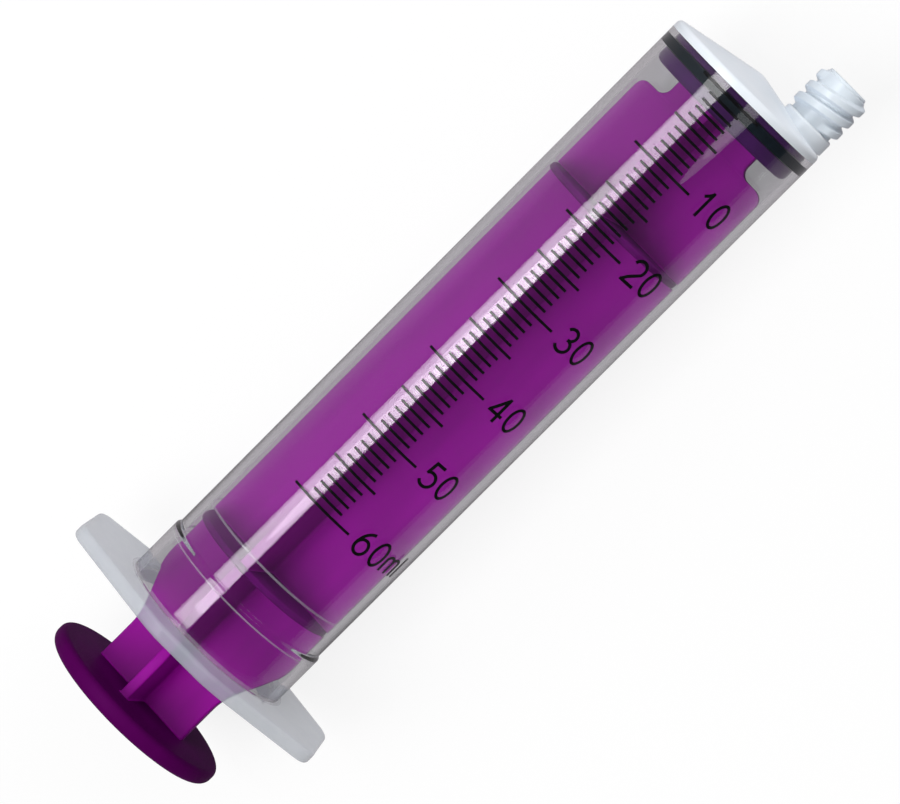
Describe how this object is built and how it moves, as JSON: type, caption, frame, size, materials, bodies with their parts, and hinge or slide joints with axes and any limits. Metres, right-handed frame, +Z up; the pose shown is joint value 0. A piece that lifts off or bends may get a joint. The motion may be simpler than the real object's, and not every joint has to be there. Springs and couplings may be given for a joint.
{
  "type": "oral syringe",
  "caption": "Clear graduated tube with finger wings and an offset threaded nozzle; a ribbed purple plunger with a sealing ring slides in it to draw up and push out liquid.",
  "frame": {"origin": "centre of the bounding box in plan, on the plane that the lying syringe stands on", "axes": "+X along the barrel towards the nozzle, +Y along a finger wing, +Z up; the printed scale faces up and the offset nozzle is on the -Y side"},
  "size_m": [0.1548, 0.0528, 0.0448],
  "materials": {
    "clear_plastic": "clear polypropylene, glossy",
    "frosted_plastic": "milky translucent polypropylene, satin gloss",
    "purple_plastic": "purple moulded plastic, satin",
    "seal_rubber": "smooth dark silicone rubber",
    "black_ink": "printed black ink"
  },
  "bodies": {
    "barrel": {"barrel_tube": "clear_plastic", "finger_flange": "frosted_plastic", "front_wall": "frosted_plastic", "nozzle": "frosted_plastic", "nozzle_thread": "frosted_plastic", "one_ml_lines": "black_ink", "five_ml_lines": "black_ink", "ten_ml_lines": "black_ink", "scale_numerals": "black_ink", "unit_letters": "black_ink"},
    "seal": {"seal_ring": "seal_rubber"},
    "plunger": {"piston_head": "purple_plastic", "front_ribs": "purple_plastic", "front_disc_rib": "purple_plastic", "middle_ribs": "purple_plastic", "rear_disc_rib": "purple_plastic", "tail_ribs": "purple_plastic", "thumb_disc": "purple_plastic"}
  },
  "joints": [
    {"name": "plunger_slide", "type": "slide", "parent": "barrel", "child": "seal", "axis": [-1, 0, 0], "range_m": [0, 0.1031]},
    {"name": "plunger_turn", "type": "hinge", "parent": "seal", "child": "plunger", "pos_m": [0, 0, 0.0224], "axis": [1, 0, 0], "continuous": true}
  ]
}
